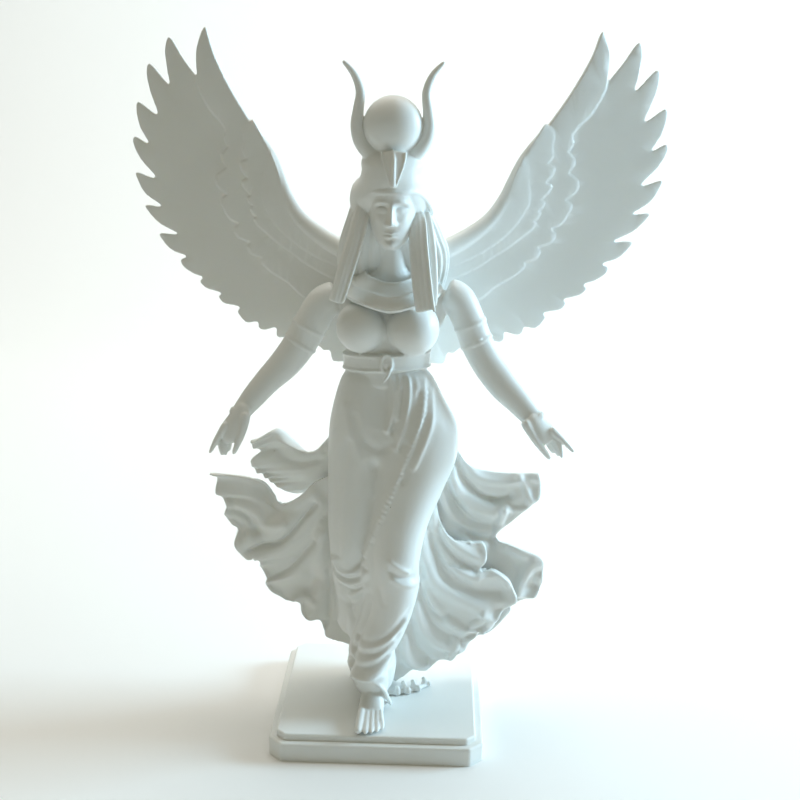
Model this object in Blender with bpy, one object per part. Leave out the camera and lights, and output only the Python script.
"""Isis statue: a winged goddess moulded in one body, standing on a stepped plinth.

The origin is the centre of the plinth's underside and the figure faces -Y. The figure is drawn in
shares, where DRAWN_HEIGHT shares are its height from the plinth's top to the tips of the wings.
"""

import bmesh
import bpy
import numpy as np
from mathutils import Vector

# Plinth, in metres
PLINTH_WIDTH = 0.090
PLINTH_LOWER_HEIGHT = 0.0081
PLINTH_STEP_HEIGHT = 0.0029
PLINTH_STEP_INSET = 0.0033
PLINTH_CORNER_CUT = 0.0056
PLINTH_EDGE_ROUND = 0.0009
SEAT_GAP = 0.0003

# Figure, in metres
FIGURE_HEIGHT = 0.2835
PLINTH_TOP = PLINTH_LOWER_HEIGHT + PLINTH_STEP_HEIGHT

# Drawing of the figure, in shares
DRAWN_HEIGHT = 283.5
DRAWN_FLOOR = 11.0
UNIT = FIGURE_HEIGHT / DRAWN_HEIGHT
BODY_LEAN = 0.03
BODY_LEAN_LEVEL = 240.0
BODY_MIDDLE = 3.2

# Wings
WING_FEATHERS = 17
WING_MIDDLE = 3.7
WING_BACK = 13.0
WING_SWEEP = 0.30
WING_CUP = 0.0004
FEATHER_WIDTH = 15.6
FIRST_NARROWER = 0.32
FEATHER_THICKNESS = 2.9
FEATHER_TWIST = 0.07
COVERT_STEP = 1.1
TAPER_START = 0.66
TIP_REACH = 1.0

# Cloth
CLOTH_THICKNESS = 2.6

# Meshing of the moulded body
VOXEL = 1.05 * UNIT
TRIANGLES = 9300
HEAD_THINNING = 0.7
FINE_AREA = 0.62


def along(stations, t):
    """Smooth curve through evenly spaced stations, read at the places t from 0 to 1."""
    rows = np.array(stations, float)
    last = len(rows) - 1
    place = np.clip(t, 0.0, 1.0) * last
    index = np.minimum(place.astype(int), last - 1)
    part = (place - index)[..., None]
    before = rows[np.maximum(index - 1, 0)]
    start = rows[index]
    end = rows[index + 1]
    after = rows[np.minimum(index + 2, last)]
    return 0.5 * (
        2 * start
        + (end - before) * part
        + (2 * before - 5 * start + 4 * end - after) * part**2
        + (3 * start - before - 3 * end + after) * part**3
    )


def bump(value, middle, width):
    """A smooth hill of height one."""
    return np.exp(-(((value - middle) / width) ** 2))


def rise(value, low, high):
    """A smooth step from zero at low to one at high."""
    part = np.clip((value - low) / (high - low), 0.0, 1.0)
    return part * part * (3 - 2 * part)


class Clay:
    """Collects closed shells, in shares, to be fused into one moulded body."""

    def __init__(self):
        self.bm = bmesh.new()

    def take(self, shell, place):
        """Moves each point of a new shell with the function place, then adds the shell."""
        mesh = bpy.data.meshes.new("shell")
        shell.to_mesh(mesh)
        shell.free()
        points = np.empty(len(mesh.vertices) * 3)
        mesh.vertices.foreach_get("co", points)
        points = place(points.reshape(-1, 3))
        mesh.vertices.foreach_set("co", points.reshape(-1))
        self.bm.from_mesh(mesh)
        bpy.data.meshes.remove(mesh)

    def ball(self, around, down, place):
        """A closed shell from a sphere. place gets t from 0 to 1 down the shell, and the angle."""
        shell = bmesh.new()
        bmesh.ops.create_uvsphere(shell, u_segments=around, v_segments=down, radius=1.0)

        def from_sphere(points):
            t = np.arccos(np.clip(points[:, 2], -1.0, 1.0)) / np.pi
            return place(t, np.arctan2(points[:, 1], points[:, 0]))

        self.take(shell, from_sphere)

    def limb(self, stations, around=14, down=24, blunt=12.0, front=(0.0, -1.0, 0.0), relief=None):
        """A tube with rounded ends. A station is x, y, z, half width and half depth."""

        def place(t, angle):
            spot = along(stations, t)
            ahead = along(stations, np.minimum(t + 0.01, 1.0))[:, :3]
            behind = along(stations, np.maximum(t - 0.01, 0.0))[:, :3]
            line = ahead - behind
            line /= np.linalg.norm(line, axis=1, keepdims=True)
            face = np.array(front, float) - line * (line @ np.array(front, float))[:, None]
            face /= np.linalg.norm(face, axis=1, keepdims=True)
            side = np.cross(face, line)
            cap = np.sqrt(np.clip(1 - np.abs(2 * t - 1) ** blunt, 0.0, 1.0))
            extra = relief(t, angle) if relief else 0.0
            wide = (spot[:, 3] + extra) * cap * np.cos(angle)
            deep = (spot[:, 4] + extra) * cap * np.sin(angle)
            return spot[:, :3] + side * wide[:, None] - face * deep[:, None]

        self.ball(around, down, place)

    def blob(self, centre, radii, around=16, down=10):
        """An ellipsoid."""

        def place(t, angle):
            ring = np.sin(np.pi * t)
            unit = np.stack([ring * np.cos(angle), ring * np.sin(angle), np.cos(np.pi * t)], 1)
            return np.array(centre) + unit * np.array(radii)

        self.ball(around, down, place)

    def sheet(self, across, down, place, thickness):
        """A cloth of even thickness. place gets u and v from 0 to 1."""
        shell = bmesh.new()
        bmesh.ops.create_grid(shell, x_segments=across, y_segments=down, size=0.5)
        grid = np.array([v.co for v in shell.verts]) + 0.5
        for vert, spot in zip(shell.verts, place(grid[:, 0], grid[:, 1])):
            vert.co = spot
        shell.normal_update()
        for vert in shell.verts:
            vert.co += vert.normal * (thickness / 2)
        grown = bmesh.ops.extrude_face_region(shell, geom=shell.faces[:], use_keep_orig=True)
        for item in grown["geom"]:
            if isinstance(item, bmesh.types.BMVert):
                item.co -= item.normal * thickness
        self.take(shell, lambda points: points)

    def band(self, around, section, place):
        """A closed band. place gets the angle along it and the angle round its section."""
        shell = bmesh.new()
        bmesh.ops.create_grid(shell, x_segments=around, y_segments=section, size=0.5)
        grid = (np.array([v.co for v in shell.verts]) + 0.5) * 2 * np.pi
        for vert, spot in zip(shell.verts, place(grid[:, 0], grid[:, 1])):
            vert.co = spot
        bmesh.ops.remove_doubles(shell, verts=shell.verts[:], dist=1e-4)
        self.take(shell, lambda points: points)


# Trunk, neck and dress top

TRUNK = (
    (3.5, 1.0, 216.0, 5.0, 5.4),
    (3.4, 2.5, 208.0, 5.2, 5.6),
    (3.3, 4.2, 200.0, 7.0, 6.6),
    (3.2, 5.2, 195.0, 15.5, 8.4),
    (3.1, 5.6, 189.0, 24.0, 10.2),
    (2.8, 4.6, 181.0, 22.5, 11.6),
    (2.2, 3.6, 173.0, 19.4, 12.0),
    (1.4, 2.8, 165.0, 17.2, 11.6),
    (1.2, 2.4, 158.0, 17.0, 11.6),
    (1.2, 2.0, 150.0, 18.8, 12.6),
)
BREASTS = ((-9.0, -5.4, 179.2, 10.4), (12.2, -5.6, 179.4, 10.9))
BELT_LEVEL = 162.4
BELT_HALF_HEIGHT = 3.7
BELT_RADII = (17.2, 12.4)
BELT_MIDDLE = (1.3, 2.6)


def trunk(clay):
    clay.limb(TRUNK, around=32, down=40, blunt=30.0)
    for x, y, z, radius in BREASTS:
        clay.blob((x, y, z), (radius, radius * 1.02, radius * 0.98), 22, 14)


def belt(clay):
    def place(turn, section):
        out = np.sign(np.cos(section)) * np.abs(np.cos(section)) ** 0.5 * 1.3
        up = np.sign(np.sin(section)) * np.abs(np.sin(section)) ** 0.5 * BELT_HALF_HEIGHT
        x = BELT_MIDDLE[0] + (BELT_RADII[0] + out) * np.cos(turn)
        y = BELT_MIDDLE[1] + (BELT_RADII[1] + out) * np.sin(turn)
        return np.stack([x, y, BELT_LEVEL + up - 0.02 * (x - BELT_MIDDLE[0])], 1)

    clay.band(48, 12, place)
    front = BELT_MIDDLE[1] - BELT_RADII[1] - 1.2
    clay.blob((2.2, front, BELT_LEVEL + 0.6), (2.7, 1.8, 4.2))
    clay.limb(
        ((1.6, front, BELT_LEVEL - 1, 1.5, 1.2), (1.0, front, BELT_LEVEL - 8, 0.7, 1.1)), 8, 8
    )


def collar(clay):
    """The broad collar lies on the upper chest as a wide flat ring."""

    def place(turn, section):
        out = 5.6 * np.cos(section)
        thick = 1.1 * np.sin(section)
        front = 0.5 - 0.5 * np.sin(turn)
        reach = 11.6 + out + 1.6 * (1 - front)
        x = 3.2 + reach * 1.12 * np.cos(turn)
        y = 3.4 + (reach * 1.0 + thick * 0.6) * np.sin(turn) - 1.0 * front
        z = 193.4 + thick - out * (0.50 + 0.62 * front) + 5.5 * (1 - front)
        return np.stack([x, y, z], 1)

    clay.band(44, 12, place)


# Skirt over both legs

# Height, then the middle and radius of the cloth over her left leg and over her right leg
SKIRT = (
    (160.0, 7.6, 1.4, 11.2, -5.2, 2.2, 10.6),
    (148.0, 11.4, 0.4, 13.2, -7.4, 2.0, 12.2),
    (135.0, 15.6, -1.4, 15.8, -8.4, 1.4, 14.0),
    (122.0, 15.4, -3.6, 16.0, -9.0, 0.2, 14.0),
    (108.0, 11.6, -7.4, 14.2, -9.6, -1.6, 13.4),
    (94.0, 8.2, -12.6, 11.6, -10.8, -4.2, 12.0),
    (80.0, 6.8, -17.0, 10.0, -11.4, -5.4, 10.6),
    (67.0, 7.2, -16.6, 9.4, -10.6, -2.0, 9.6),
    (54.0, 5.6, -16.6, 8.6, -8.0, 4.0, 9.0),
    (41.0, 2.0, -18.2, 7.4, -5.0, 8.0, 8.2),
    (28.0, -1.2, -20.4, 6.8, -1.6, 9.0, 7.4),
    (12.0, -2.4, -15.0, 7.0, 1.6, 7.0, 8.4),
)
# Middle and radius of the cloth behind the legs, at the same heights
BACK_FALL = (
    (1.2, 4.0, 10.0),
    (1.4, 5.0, 11.0),
    (2.0, 6.0, 12.0),
    (2.0, 7.0, 12.0),
    (1.0, 8.0, 12.0),
    (0.0, 9.0, 12.0),
    (-1.0, 10.0, 12.0),
    (-1.0, 11.0, 12.5),
    (-1.0, 12.0, 13.0),
    (0.0, 13.0, 13.5),
    (1.0, 14.0, 14.0),
    (1.0, 14.0, 14.5),
)
SLACK = 0.16
# Folds of the skirt: start height and turn, end height and turn, width in degrees, height
SKIRT_FOLDS = (
    (156.0, -84.0, 122.0, -92.0, 3.2, 1.0),
    (156.0, -76.0, 110.0, -96.0, 3.4, 1.4),
    (155.0, -68.0, 98.0, -98.0, 3.6, 1.6),
    (154.0, -60.0, 112.0, -84.0, 3.4, 1.3),
    (153.0, -50.0, 118.0, -72.0, 3.6, 1.0),
    (140.0, -128.0, 112.0, -106.0, 5.0, 0.8),
    (118.0, -106.0, 84.0, -108.0, 4.0, 0.9),
    (104.0, -92.0, 66.0, -116.0, 4.0, 1.1),
    (74.0, -150.0, 66.0, -105.0, 9.0, 1.2),
    (66.0, -150.0, 58.0, -100.0, 9.0, 1.2),
    (56.0, -150.0, 36.0, -78.0, 9.0, 1.3),
    (46.0, -150.0, 26.0, -70.0, 9.0, 1.3),
    (36.0, -160.0, 18.0, -80.0, 9.0, 1.2),
)


def leg_reach(turn, x, y, radius, base_x, base_y):
    """How far a ray from the base at this turn runs before it leaves a circle."""
    shift_x = x - base_x
    shift_y = y - base_y
    forward = shift_x * np.cos(turn) + shift_y * np.sin(turn)
    aside = shift_x**2 + shift_y**2 - forward**2
    return np.maximum(forward + np.sqrt(np.maximum(radius**2 - aside, 0.0)), 0.5)


def skirt(clay, around=72, down=90):
    """Cloth drawn round three upright forms: both legs, and the fall of cloth behind them."""

    def place(t, turn):
        row = along(SKIRT, t)
        height, x1, y1, r1, x2, y2, r2 = row.T
        back = along(BACK_FALL, t)
        forms = ((x1, y1, r1), (x2, y2, r2), (back[:, 0], back[:, 1], back[:, 2]))
        base_x = (x1 + x2 + back[:, 0]) / 3
        base_y = (y1 + y2 + back[:, 1]) / 3
        total = 0.0
        for index in range(3):
            xa, ya, ra = forms[index]
            xb, yb, rb = forms[(index + 1) % 3]
            for share in (0.0, 0.3, 0.7):
                slack = 1 - SLACK * np.sin(np.pi * share)
                x = xa + (xb - xa) * share
                y = ya + (yb - ya) * share
                radius = (ra + (rb - ra) * share) * slack
                total = total + leg_reach(turn, x, y, radius, base_x, base_y) ** 14
        reach = total ** (1 / 14)
        degrees = np.degrees(turn)
        for high, from_turn, low, to_turn, wide, proud in SKIRT_FOLDS:
            part = (high - height) / (high - low)
            line = from_turn + (to_turn - from_turn) * part
            fade = rise(part, -0.15, 0.15) * (1 - rise(part, 0.8, 1.15))
            reach = reach + proud * fade * bump(degrees, line, wide)
        behind = rise(np.sin(turn), -0.2, 0.6)
        low = rise(150 - height, 0.0, 120.0)
        reach = reach + 1.3 * behind * low * np.sin(9 * turn + 0.05 * height)
        cap = np.sqrt(np.clip(1 - np.abs(2 * t - 1) ** 40, 0.0, 1.0))
        x = base_x + reach * cap * np.cos(turn)
        y = base_y + reach * cap * np.sin(turn)
        return np.stack([x, y, height], 1)

    clay.ball(around, down, place)


FOOT = (
    (-0.4, -8.0, 15.6, 4.2, 4.2),
    (-1.2, -16.0, 18.0, 4.4, 6.6),
    (-1.8, -24.0, 16.8, 4.8, 5.2),
    (-2.2, -31.0, 14.4, 5.4, 3.6),
    (-2.4, -35.5, 13.2, 5.2, 2.3),
)
SOLE = ((-1.2, -14.0, 13.4), (5.4, 12.0, 2.6))
TOES = 5
BIG_TOE_ASIDE = -6.4
BIG_TOE_RADIUS = 1.65
TOE_STEP = 2.05
TOE_THINNER = 0.14
TOE_KNUCKLE = -33.0
TOE_TIP = -40.4
TOE_SHORTER = 0.95


def foot(clay):
    """Her left foot steps out from under the hem, and five toes reach the plinth's edge."""
    clay.limb(FOOT, 16, 18, front=(0.0, 0.0, 1.0))
    for index in range(TOES):
        x = BIG_TOE_ASIDE + TOE_STEP * index
        size = BIG_TOE_RADIUS - TOE_THINNER * index
        tip = TOE_TIP + TOE_SHORTER * max(index - 1, 0)
        joints = (
            (x * 0.9, TOE_KNUCKLE, 13.6, size, size),
            (x, TOE_KNUCKLE - 4.0, 13.4, size, size),
            (x * 1.02, tip, DRAWN_FLOOR + size, size, size * 0.9),
        )
        clay.limb(joints, 10, 10, front=(0.0, 0.0, 1.0))
    clay.blob(*SOLE)


# Trains of cloth on both sides: lines down the cloth, from the body out to the hem

LEFT_TRAIN = (
    ((-10.0, 8.0, 101.0), (-9.0, 8.0, 84.0), (-6.0, 8.0, 56.0), (-2.0, 7.0, 20.0)),
    ((-31.0, 10.0, 97.0), (-28.0, 11.0, 78.0), (-17.0, 12.0, 50.0), (-4.0, 11.0, 18.0)),
    ((-45.0, 13.0, 92.0), (-42.0, 13.0, 77.0), (-27.0, 13.0, 49.0), (-6.0, 12.0, 17.0)),
    ((-58.0, 14.0, 104.0), (-54.0, 14.0, 78.0), (-35.0, 13.0, 49.0), (-8.0, 12.0, 16.0)),
    (
        (-78.0, 16.0, 105.8),
        (-74.5, 15.0, 98.5),
        (-72.5, 14.0, 87.0),
        (-67.0, 14.0, 73.0),
        (-58.5, 13.0, 63.0),
        (-52.5, 13.0, 54.0),
        (-43.5, 12.0, 45.6),
        (-36.0, 12.0, 40.5),
        (-27.5, 11.0, 35.0),
        (-21.0, 11.0, 26.0),
        (-10.0, 10.0, 13.5),
    ),
)
UPPER_TRAIN = (
    ((-12.0, 8.0, 131.0), (-12.0, 8.0, 115.0), (-12.0, 8.0, 101.0)),
    ((-36.5, 13.0, 118.0), (-34.0, 11.0, 108.0), (-34.0, 12.0, 98.0)),
    ((-46.5, 19.0, 126.6), (-48.0, 14.0, 115.0), (-43.0, 17.0, 99.0)),
    ((-59.0, 20.0, 122.0), (-57.0, 20.0, 116.0), (-59.5, 18.0, 110.5), (-49.0, 17.0, 101.0)),
)
RIGHT_TRAIN = (
    (
        (14.0, 4.0, 137.0),
        (12.0, 6.0, 108.0),
        (8.0, 7.0, 80.0),
        (5.0, 7.0, 50.0),
        (3.0, 6.0, 20.0),
    ),
    (
        (33.0, 8.0, 120.5),
        (28.0, 9.0, 98.0),
        (24.0, 10.0, 74.0),
        (18.0, 9.0, 44.0),
        (8.0, 5.0, 17.0),
    ),
    (
        (46.0, 12.0, 108.6),
        (42.0, 11.0, 90.0),
        (46.0, 11.0, 66.0),
        (34.0, 10.0, 40.0),
        (15.0, 2.0, 15.0),
    ),
    (
        (69.2, 16.0, 109.0),
        (70.0, 15.0, 99.0),
        (65.0, 14.0, 91.0),
        (50.5, 13.0, 82.0),
        (57.0, 13.0, 76.5),
        (72.0, 14.0, 70.0),
        (72.0, 14.0, 57.5),
        (62.0, 13.0, 48.5),
        (57.0, 12.0, 43.5),
        (50.0, 11.0, 35.0),
        (41.5, 9.0, 29.0),
        (33.0, 4.0, 21.5),
        (20.0, -4.0, 13.5),
    ),
)


def train(clay, lines, folds, swing, turn, across=46, down=60):
    """Cloth that spreads from the body to its hem, with folds that deepen outwards."""

    def place(u, v):
        ways = [along(line, v) for line in lines]
        before = 2 * ways[0] - ways[1]
        beyond = 2 * ways[-1] - ways[-2]
        ways = np.stack([before, *ways, beyond])
        step = np.clip(u, 0, 1) * (len(lines) - 1)
        index = np.minimum(step.astype(int), len(lines) - 2)
        part = (step - index)[:, None]
        each = np.arange(len(u))
        a, b, c, d = (ways[index + shift, each] for shift in range(4))
        spot = 0.5 * (
            2 * b
            + (c - a) * part
            + (2 * a - 5 * b + 4 * c - d) * part**2
            + (3 * b - a - 3 * c + d) * part**3
        )
        wave = np.sin(2 * np.pi * (folds * v + turn) + 0.9 * np.sin(2.3 * np.pi * u))
        ripple = np.sin(2 * np.pi * (2.7 * folds * v + turn) + 2.0 * u)
        spot[:, 1] += swing * u**0.8 * wave + 0.28 * swing * u**2.5 * ripple
        spot[:, 2] -= 0.16 * swing * u**2 * ripple
        spot[:, 0] += 0.10 * swing * np.sign(spot[:, 0]) * u**2 * ripple
        return spot

    clay.sheet(across, down, place, CLOTH_THICKNESS)


def trains(clay):
    train(clay, LEFT_TRAIN, 5.2, 5.0, 0.12)
    train(clay, UPPER_TRAIN, 1.7, 4.0, 0.20, 36, 30)
    train(clay, RIGHT_TRAIN, 6.2, 5.4, 0.30)


# Arms and hands

RIGHT_ARM = (
    (25.0, 5.0, 190.0, 7.2, 7.0),
    (30.8, 4.4, 187.0, 7.0, 6.8),
    (35.2, 3.6, 178.6, 6.8, 6.2),
    (38.8, 3.0, 169.6, 6.8, 5.8),
    (44.0, 1.8, 160.4, 6.7, 5.4),
    (50.2, -0.6, 152.4, 6.3, 4.8),
    (57.2, -3.0, 145.4, 5.3, 4.2),
    (63.0, -5.0, 139.4, 4.4, 3.3),
    (67.0, -6.4, 135.8, 4.0, 2.9),
)
LEFT_ARM = (
    (-19.0, 5.0, 188.0, 7.2, 7.0),
    (-25.6, 4.4, 184.6, 7.0, 6.8),
    (-30.6, 3.6, 176.1, 7.2, 6.2),
    (-35.2, 3.0, 167.7, 7.0, 5.8),
    (-41.2, 1.8, 159.6, 6.6, 5.4),
    (-48.2, -0.6, 152.6, 5.6, 4.8),
    (-54.4, -3.0, 145.6, 4.9, 4.2),
    (-59.2, -5.0, 139.6, 4.0, 3.4),
    (-61.6, -6.2, 135.4, 3.7, 3.0),
)
# Each finger: x, y and z of its knuckle, middle joint and tip
RIGHT_FINGERS = (
    ((71.8, -8.2, 134.0), (77.2, -10.0, 130.0), (82.0, -10.6, 124.6)),
    ((70.8, -6.6, 132.0), (75.6, -8.0, 127.0), (78.8, -8.6, 122.0)),
    ((69.4, -5.2, 130.6), (73.0, -6.0, 125.6), (75.8, -6.4, 120.8)),
    ((67.8, -4.0, 129.8), (70.2, -4.2, 125.2), (72.2, -4.6, 121.6)),
    ((65.4, -9.0, 133.6), (67.0, -11.0, 127.4), (71.0, -11.6, 122.4)),
)
LEFT_FINGERS = (
    ((-67.2, -8.0, 131.6), (-71.6, -9.4, 126.4), (-74.0, -9.8, 121.0)),
    ((-66.0, -6.4, 129.8), (-69.2, -7.4, 124.6), (-70.6, -8.0, 120.2)),
    ((-64.6, -5.0, 128.8), (-66.6, -5.6, 123.6), (-67.6, -6.0, 119.6)),
    ((-63.0, -3.8, 128.8), (-64.4, -4.0, 124.4), (-65.2, -4.4, 121.0)),
    ((-59.8, -8.8, 131.8), (-59.6, -10.6, 125.6), (-61.8, -11.2, 119.8)),
)
FINGER_RADIUS = 1.5
THUMB_THICKER = 1.1
FINGER_THINNER = 0.05
JOINT_SIZES = (1.1, 1.0, 0.8)
# Bracelet and armlets: place along the arm, how proud they stand, half their length along the arm
CUFFS = ((0.90, 1.1, 0.030), (0.30, 1.0, 0.018), (0.35, 1.0, 0.018))


def arm(clay, stations, fingers):
    clay.limb(stations, around=18, down=40, blunt=24.0)
    wrist = np.array(stations[-1][:3])
    knuckles = np.mean([finger[0] for finger in fingers[:4]], axis=0)
    clay.limb(
        (
            (*wrist, 3.2, 2.5),
            (*(0.5 * (wrist + knuckles)), 4.4, 2.6),
            (*knuckles, 4.2, 2.2),
        ),
        14,
        12,
        front=(0.3 * np.sign(wrist[0]), -0.6, 0.8),
    )
    for index, joints in enumerate(fingers):
        is_thumb = index == len(fingers) - 1
        size = FINGER_RADIUS * (THUMB_THICKER if is_thumb else 1 - FINGER_THINNER * index)
        rows = [(*joint, size * fat, size * fat) for joint, fat in zip(joints, JOINT_SIZES)]
        clay.limb(rows, 10, 12, blunt=8.0)
    for place, proud, half in CUFFS:
        cuff(clay, stations, place, proud, half)


def cuff(clay, stations, place, proud, half):
    """A raised band round the arm."""
    ends = np.array([place - half, place, place + half])
    rows = along(stations, ends)
    rows[:, 3:] += proud
    clay.limb([tuple(row) for row in rows], around=18, down=12, blunt=8.0)


# Head, face, hair and headdress

HEAD = (
    (3.4, -2.2, 241.0, 7.0, 8.4),
    (3.4, -2.0, 235.0, 8.6, 11.8),
    (3.3, -2.0, 228.5, 8.6, 12.2),
    (3.3, -2.4, 223.0, 8.1, 11.4),
    (3.2, -3.6, 218.0, 7.1, 9.8),
    (3.2, -5.2, 214.0, 5.4, 7.8),
    (3.1, -7.2, 210.6, 2.8, 5.0),
)
EYE_LEVEL = 225.0
NOSE_LEVEL = 218.6
MOUTH_LEVEL = 215.4
CHIN_LEVEL = 211.8
EYE_SPREAD = 3.4


def face_relief(x, z):
    """How far the face stands out at x from its middle and at the height z."""
    along_nose = rise(z, NOSE_LEVEL - 0.4, NOSE_LEVEL + 0.8) * (1 - rise(z, 224.0, 229.0))
    nose = (3.1 - 0.24 * (z - NOSE_LEVEL)) * along_nose * bump(x, 0.0, 1.35)
    nostrils = 1.0 * bump(z, NOSE_LEVEL + 0.9, 0.9) * bump(np.abs(x), 1.3, 0.8)
    sockets = -1.3 * bump(np.abs(x), EYE_SPREAD, 1.9) * bump(z, EYE_LEVEL + 0.2, 1.9)
    eyes = 1.1 * bump(np.abs(x), EYE_SPREAD, 1.35) * bump(z, EYE_LEVEL, 0.8)
    brows = 0.55 * bump(z, EYE_LEVEL + 2.9 - 0.05 * x**2, 0.8) * bump(np.abs(x), EYE_SPREAD, 2.2)
    lips = 0.95 * bump(x, 0.0, 2.2) * (
        bump(z, MOUTH_LEVEL + 0.65, 0.55) + 1.05 * bump(z, MOUTH_LEVEL - 0.75, 0.65)
    )
    chin = 1.0 * bump(x, 0.0, 2.2) * bump(z, CHIN_LEVEL, 1.5)
    cheeks = 0.5 * bump(np.abs(x), 4.6, 2.0) * bump(z, 220.5, 2.6)
    return nose + nostrils + sockets + eyes + brows + lips + chin + cheeks


def head(clay, around=64, down=72):
    def place(t, turn):
        row = along(HEAD, t)
        cap = np.sqrt(np.clip(1 - np.abs(2 * t - 1) ** 14, 0.0, 1.0))
        x = row[:, 3] * cap * np.cos(turn)
        y = row[:, 4] * cap * np.sin(turn)
        front = rise(-np.sin(turn), 0.25, 0.75)
        y = y - front * face_relief(x, row[:, 2])
        return np.stack([row[:, 0] + x, row[:, 1] + y, row[:, 2]], 1)

    clay.ball(around, down, place)


CAP = (
    (3.5, -1.4, 249.5, 6.2, 6.0),
    (3.4, -1.0, 245.0, 9.2, 10.6),
    (2.9, -0.4, 239.5, 12.2, 13.4),
    (2.7, 1.2, 233.6, 15.2, 13.2),
    (2.5, 4.0, 228.0, 17.0, 11.6),
    (2.5, 5.0, 223.0, 16.8, 11.0),
)
HAIR = (
    (3.2, 4.8, 230.0, 14.4, 11.0),
    (2.6, 5.4, 222.0, 17.4, 10.8),
    (2.8, 6.8, 212.0, 21.2, 9.6),
    (3.3, 9.0, 203.0, 23.0, 7.6),
    (3.4, 12.4, 192.0, 21.0, 6.2),
    (3.4, 15.0, 180.0, 16.0, 4.8),
    (3.4, 16.6, 170.0, 10.0, 3.2),
)
LAPPET = (
    (9.4, -1.0, 229.0, 4.0, 3.6),
    (9.8, -5.6, 219.0, 3.9, 3.2),
    (10.4, -10.0, 209.0, 4.1, 3.0),
    (12.6, -13.6, 198.0, 4.4, 2.9),
    (14.6, -15.6, 188.6, 4.6, 2.8),
)
BROW_ORNAMENT = (
    (3.8, -10.6, 249.6, 5.2, 3.0),
    (3.9, -13.4, 245.0, 4.2, 3.0),
    (4.0, -14.8, 240.0, 2.6, 2.4),
    (4.0, -15.2, 234.6, 1.3, 1.5),
)
BAND_FRONT_LEVEL = 232.6
BAND_SIDE_DROP = 8.4
BAND_THICKNESS = 1.3


def locks(count, proud):
    """Grooves that run down a tress."""
    return lambda t, angle: proud * (np.abs(np.sin(count * angle)) - 0.5)


def hair(clay):
    clay.limb(HAIR, around=60, down=40, blunt=20.0, relief=locks(14, 1.1))
    for side in (-1, 1):
        rows = [(BODY_MIDDLE + side * x, y, z, wide, deep) for x, y, z, wide, deep in LAPPET]
        clay.limb(rows, around=36, down=30, blunt=30.0, relief=locks(5, 0.8))


def headdress(clay):
    """The vulture cap with its raised band and the ornament over the brow."""
    clay.limb(CAP, around=40, down=26, blunt=14.0)

    def band(turn, section):
        side = 1 - rise(-np.sin(turn), -0.2, 1.0)
        up = BAND_THICKNESS * np.sin(section)
        out = 0.8 * BAND_THICKNESS * np.cos(section)
        x = 3.3 + (12.4 + 3.2 * side + out) * np.cos(turn)
        y = 0.6 + (14.0 + out) * np.sin(turn)
        return np.stack([x, y, BAND_FRONT_LEVEL - BAND_SIDE_DROP * side**1.4 + up], 1)

    clay.band(48, 10, band)
    clay.limb(BROW_ORNAMENT, 14, 16, blunt=8.0)


HORN = (
    (4.0, 246.4, 3.2),
    (9.6, 248.6, 3.2),
    (13.6, 253.4, 3.0),
    (15.0, 259.4, 2.6),
    (13.8, 266.0, 2.2),
    (13.2, 272.4, 1.9),
    (15.6, 278.6, 1.5),
    (20.0, 283.8, 1.0),
)
DISC_CENTRE = (3.4, -4.6, 259.4)
DISC_RADIUS = 11.4
DISC_DEPTH = 9.0
CROWN_BASE = (
    (3.4, -3.0, 250.0, 7.0, 6.4),
    (3.4, -3.6, 246.0, 7.6, 7.4),
    (3.4, -2.6, 242.0, 8.0, 8.0),
)


def horns(clay):
    """The round disc between two horns that hug it and then sweep out."""
    clay.blob(DISC_CENTRE, (DISC_RADIUS, DISC_DEPTH, DISC_RADIUS), 32, 20)
    for side in (-1, 1):
        rows = [
            (DISC_CENTRE[0] + side * reach, DISC_CENTRE[1], height, size, size)
            for reach, height, size in HORN
        ]
        clay.limb(rows, around=14, down=44, blunt=30.0)
    clay.limb(CROWN_BASE, 24, 12)


# Wings

# Distance out from the middle and height: feather tips and roots, and the tips' directions
WING_TIPS = (
    (83.6, 292.8),
    (99.6, 290.2),
    (107.9, 279.4),
    (112.3, 263.6),
    (114.6, 249.2),
    (114.2, 233.6),
    (109.6, 219.6),
    (102.8, 207.4),
    (94.0, 196.4),
    (84.6, 188.2),
    (76.0, 181.2),
    (68.0, 175.0),
    (60.0, 169.8),
    (52.4, 166.0),
    (45.0, 163.2),
    (35.0, 161.0),
    (24.0, 157.0),
)
TIP_TURNS = (
    *(79.0, 68.0, 66.0, 58.0, 48.0, 36.0, 27.0, 20.0, 12.0, 2.0),
    *(-8.0, -18.0, -28.0, -40.0, -52.0, -62.0, -72.0),
)
ROOT_TOP = (56.0, 232.0)
ROOT_BOTTOM = (12.0, 184.0)
FEATHER_BEND = 0.42
FEATHER_AROUND = 12
FEATHER_DOWN = 36
LAST_NARROWER = 0.10
NARROW_FADE = 0.9
LONG_COVERTS = (
    *((83.0, 268.6), (76.0, 256.0), (77.4, 244.0), (77.6, 232.6), (75.2, 221.0), (69.6, 210.8)),
    *((62.0, 203.0), (54.6, 196.4), (46.0, 189.8), (38.0, 184.0), (28.0, 178.6), (18.0, 174.0)),
)
MIDDLE_COVERTS = (
    *((63.6, 257.6), (67.0, 247.2), (67.2, 237.4), (65.4, 227.6), (61.6, 219.2)),
    *((55.8, 211.4), (48.4, 204.4), (40.4, 199.2), (32.0, 195.0), (22.0, 191.0)),
)
SHORT_COVERTS = (
    *((56.6, 245.2), (58.2, 238.0), (57.6, 229.6), (55.0, 220.6)),
    *((50.0, 212.6), (43.0, 205.6), (34.0, 199.4), (24.0, 195.0)),
)
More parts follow.
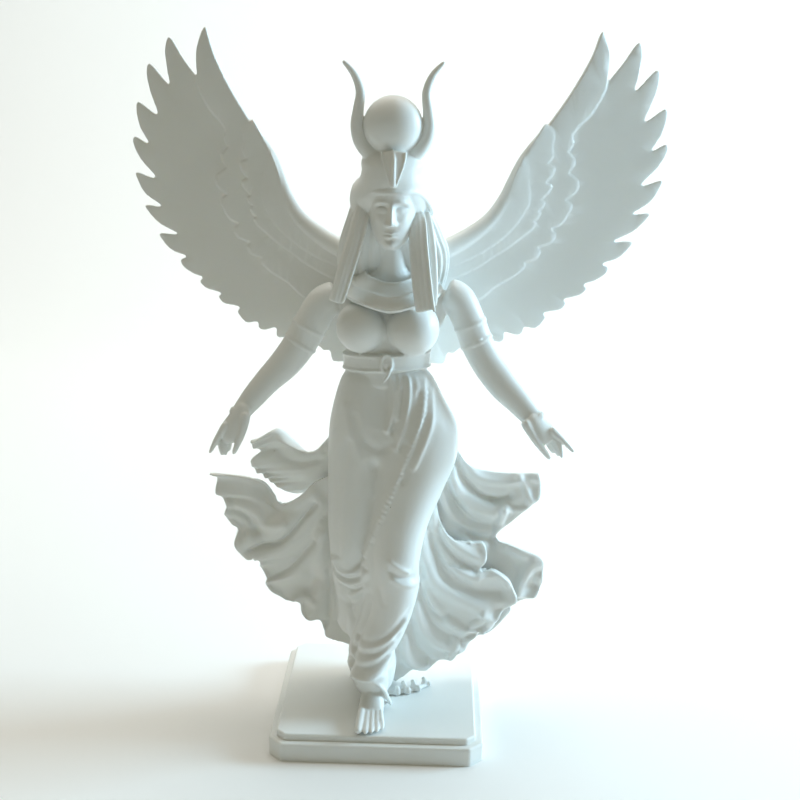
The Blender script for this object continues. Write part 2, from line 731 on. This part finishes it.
# Each row: tips, width, first and last root, first and last turn
COVERT_ROWS = (
    (LONG_COVERTS, 14.0, (50.0, 224.0), (8.0, 188.0), (62.0, -60.0)),
    (MIDDLE_COVERTS, 11.0, (53.0, 222.0), (8.0, 194.0), (74.0, -40.0)),
    (SHORT_COVERTS, 9.5, (52.0, 220.0), (6.0, 196.0), (84.0, -30.0)),
)
COVERT_BEND = 0.40
ARM_LINE = (
    (56.8, 242.6, 2.0),
    (53.8, 235.8, 3.2),
    (51.4, 226.6, 4.0),
    (46.2, 216.4, 4.6),
    (36.8, 209.0, 5.2),
    (24.0, 202.4, 5.8),
    (8.0, 196.0, 6.4),
)
ARM_LINE_FLATNESS = 0.62
ARM_LINE_FORWARD = 1.6
WING_ROOT = (
    (3.2, 13.0, 202.0, 12.0, 4.0),
    (3.0, 13.6, 192.0, 20.0, 5.0),
    (2.8, 13.2, 180.0, 22.0, 4.6),
    (2.4, 12.0, 168.0, 18.0, 4.0),
)


def wing_depth(out):
    """How far back the wing lies. It sweeps back towards its tip."""
    return WING_BACK + WING_SWEEP * out - WING_CUP * out**2


def wing_middle(height):
    """The wings' middle line, which leans with the body."""
    return WING_MIDDLE + BODY_LEAN * (height - BODY_LEAN_LEVEL)


def between(first, last, share):
    return tuple(a + (b - a) * share for a, b in zip(first, last))


def feather(clay, side, root, tip, turn, width, forward, bend):
    """A blade that bends from its root to its tip, and lies on the wing's swept surface."""
    root = np.array(root)
    tip = np.array(tip)
    reach = np.linalg.norm(tip - root)
    tip = tip + TIP_REACH * (tip - root) / reach
    heading = np.array([np.cos(np.radians(turn)), np.sin(np.radians(turn))])
    elbow = tip - heading * reach * bend

    def place(t, angle):
        s = 1 - (1 - t) ** 1.15
        a = root[0] * (1 - s) ** 2 + 2 * elbow[0] * s * (1 - s) + tip[0] * s**2
        z = root[1] * (1 - s) ** 2 + 2 * elbow[1] * s * (1 - s) + tip[1] * s**2
        da = 2 * (1 - s) * (elbow[0] - root[0]) + 2 * s * (tip[0] - elbow[0])
        dz = 2 * (1 - s) * (elbow[1] - root[1]) + 2 * s * (tip[1] - elbow[1])
        size = np.sqrt(da**2 + dz**2)
        across_a = dz / size
        across_z = -da / size
        taper = np.clip((s - TAPER_START) / (1 - TAPER_START), 0, 1)
        shape = (0.62 + 0.38 * rise(s, 0.0, 0.55)) * (1 - taper**2.4) ** 0.8
        cap = np.sqrt(np.clip(1 - np.abs(2 * t - 1) ** 16, 0.0, 1.0))
        wide = 0.5 * width * shape * cap * np.cos(angle)
        thick = 0.5 * FEATHER_THICKNESS * (1 - 0.45 * s) * cap * np.sin(angle)
        a = a + across_a * wide
        z = z + across_z * wide
        y = wing_depth(a) - forward * (1 - 0.35 * s) + thick + FEATHER_TWIST * wide
        return np.stack([wing_middle(z) + side * a, y, z], 1)

    clay.ball(FEATHER_AROUND, FEATHER_DOWN, place)


def wing(clay, side):
    """Seventeen long feathers, three rows of coverts over them, and the arm line along the top."""
    for index in range(WING_FEATHERS):
        share = index / (WING_FEATHERS - 1)
        root = between(ROOT_TOP, ROOT_BOTTOM, share)
        slim = (1 - LAST_NARROWER * share) * (1 - FIRST_NARROWER * np.exp(-NARROW_FADE * index))
        tip = WING_TIPS[index]
        feather(clay, side, root, tip, TIP_TURNS[index], FEATHER_WIDTH * slim, 0.0, FEATHER_BEND)
    for level, (tips, width, first, last, turns) in enumerate(COVERT_ROWS, start=1):
        for index, tip in enumerate(tips):
            share = index / (len(tips) - 1)
            turn = turns[0] + (turns[1] - turns[0]) * share
            root = between(first, last, share)
            feather(clay, side, root, tip, turn, width, level * COVERT_STEP, COVERT_BEND)
    rows = []
    for out, height, size in ARM_LINE:
        x = wing_middle(height) + side * out
        y = wing_depth(out) - ARM_LINE_FORWARD
        rows.append((x, y, height, size, ARM_LINE_FLATNESS * size))
    clay.limb(rows, around=16, down=36, blunt=16.0)


def wing_root(clay):
    """The wings grow from one pad between the shoulder blades."""
    clay.limb(WING_ROOT, 24, 20)


def keep_largest(mesh):
    """Fills the small bubbles that fusing can leave, by removing every shell but the largest."""
    bm = bmesh.new()
    bm.from_mesh(mesh)
    unseen = set(bm.verts)
    shells = []
    while unseen:
        shell = {unseen.pop()}
        edge_of_search = list(shell)
        while edge_of_search:
            vert = edge_of_search.pop()
            for edge in vert.link_edges:
                other = edge.other_vert(vert)
                if other not in shell:
                    shell.add(other)
                    edge_of_search.append(other)
        unseen -= shell
        shells.append(shell)
    shells.sort(key=len)
    for shell in shells[:-1]:
        bmesh.ops.delete(bm, geom=list(shell), context="VERTS")
    bm.to_mesh(mesh)
    bm.free()


def to_metres(mesh):
    """From shares above the drawn floor to metres above the plinth."""
    points = np.empty(len(mesh.vertices) * 3)
    mesh.vertices.foreach_get("co", points)
    points = points.reshape(-1, 3)
    points[:, 2] = np.maximum(points[:, 2], DRAWN_FLOOR) - DRAWN_FLOOR
    points *= UNIT
    points[:, 2] += PLINTH_TOP + SEAT_GAP
    mesh.vertices.foreach_set("co", points.reshape(-1))


def evaluated_mesh(body):
    """The mesh after its modifiers, which are then taken off."""
    evaluated = body.evaluated_get(bpy.context.evaluated_depsgraph_get())
    mesh = bpy.data.meshes.new_from_object(evaluated)
    body.modifiers.clear()
    return mesh


def head_area():
    """The middle of the head and how far the finely faceted area runs from there, in metres."""
    crown = np.array(HEAD[0][:3])
    chin = np.array(HEAD[-1][:3])
    middle = ((crown + chin) / 2 - np.array((0.0, 0.0, DRAWN_FLOOR))) * UNIT
    return Vector(middle) + Vector((0, 0, PLINTH_TOP)), FINE_AREA * np.linalg.norm(crown - chin) * UNIT


def moulded(clay, name, voxel, triangles):
    """Fuses the shells into one body, then thins out its faces, less so on the head."""
    mesh = bpy.data.meshes.new(name)
    clay.bm.to_mesh(mesh)
    clay.bm.free()
    to_metres(mesh)
    body = bpy.data.objects.new(name, mesh)
    bpy.context.scene.collection.objects.link(body)
    fuse = body.modifiers.new("fuse", "REMESH")
    fuse.mode = "VOXEL"
    fuse.voxel_size = voxel
    fuse.adaptivity = 0.0
    fused = evaluated_mesh(body)
    keep_largest(fused)
    body.data = fused
    count = sum(len(face.vertices) - 2 for face in fused.polygons)
    spread = body.vertex_groups.new(name="spread")
    middle, reach = head_area()
    for vert in fused.vertices:
        near = (vert.co - middle).length < reach
        spread.add([vert.index], HEAD_THINNING if near else 1.0, "REPLACE")
    thin = body.modifiers.new("thin", "DECIMATE")
    thin.vertex_group = spread.name
    thin.ratio = triangles / count
    thin.use_collapse_triangulate = True
    body.data = evaluated_mesh(body)
    for vert in body.data.vertices:
        vert.co.z = max(vert.co.z, PLINTH_TOP + SEAT_GAP)
    return body


def plastic(name, colour, roughness):
    material = bpy.data.materials.new(name)
    material.use_nodes = True
    shader = material.node_tree.nodes["Principled BSDF"]
    shader.inputs["Base Color"].default_value = (*colour, 1.0)
    shader.inputs["Roughness"].default_value = roughness
    shader.inputs["Metallic"].default_value = 0.0
    return material


LEVEL_EDGE = 1e-6
SHARP_EDGE = 0.5


def edge_rise(edge):
    return abs(edge.verts[0].co.z - edge.verts[1].co.z)


def plinth():
    """A lower block with rounded edges, and an inset step whose upright corners are cut."""
    mesh = bpy.data.meshes.new("plinth")
    bm = bmesh.new()
    bmesh.ops.create_cube(bm, size=1.0)
    bmesh.ops.scale(bm, vec=(PLINTH_WIDTH, PLINTH_WIDTH, PLINTH_LOWER_HEIGHT), verts=bm.verts[:])
    bmesh.ops.translate(bm, vec=(0, 0, PLINTH_LOWER_HEIGHT / 2), verts=bm.verts[:])
    uprights = [e for e in bm.edges if edge_rise(e) > PLINTH_LOWER_HEIGHT / 2]
    bmesh.ops.bevel(
        bm,
        geom=uprights,
        offset=PLINTH_CORNER_CUT,
        affect="EDGES",
        segments=1,
        profile=0.5,
        material=-1,
    )
    top = max(bm.faces, key=lambda f: f.calc_center_median().z)
    bmesh.ops.inset_region(bm, faces=[top], thickness=PLINTH_STEP_INSET)
    risen = bmesh.ops.extrude_face_region(bm, geom=[top])
    lifted = [v for v in risen["geom"] if isinstance(v, bmesh.types.BMVert)]
    bmesh.ops.translate(bm, vec=(0, 0, PLINTH_STEP_HEIGHT), verts=lifted)
    bmesh.ops.delete(bm, geom=[top], context="FACES_ONLY")
    bmesh.ops.recalc_face_normals(bm, faces=bm.faces[:])
    rims = [
        e
        for e in bm.edges
        if edge_rise(e) < LEVEL_EDGE
        and e.calc_face_angle_signed() > SHARP_EDGE
        and e.verts[0].co.z > PLINTH_LOWER_HEIGHT / 2
    ]
    bmesh.ops.bevel(
        bm,
        geom=rims,
        offset=PLINTH_EDGE_ROUND,
        affect="EDGES",
        segments=2,
        profile=0.5,
        material=-1,
    )
    bm.to_mesh(mesh)
    bm.free()
    block = bpy.data.objects.new("plinth", mesh)
    bpy.context.scene.collection.objects.link(block)
    return block


def figure():
    clay = Clay()
    trunk(clay)
    belt(clay)
    collar(clay)
    skirt(clay)
    foot(clay)
    trains(clay)
    arm(clay, RIGHT_ARM, RIGHT_FINGERS)
    arm(clay, LEFT_ARM, LEFT_FINGERS)
    head(clay)
    hair(clay)
    headdress(clay)
    horns(clay)
    wing_root(clay)
    wing(clay, -1)
    wing(clay, 1)
    return moulded(clay, "figure", VOXEL, TRIANGLES)


WHITE = (0.86, 0.88, 0.87)
FIGURE_ROUGHNESS = 0.38
PLINTH_ROUGHNESS = 0.40


def main():
    for obj in list(bpy.data.objects):
        bpy.data.objects.remove(obj)
    plinth().data.materials.append(plastic("plinth_plastic", WHITE, PLINTH_ROUGHNESS))
    body = figure()
    body.data.materials.clear()
    body.data.materials.append(plastic("white_plastic", WHITE, FIGURE_ROUGHNESS))


main()
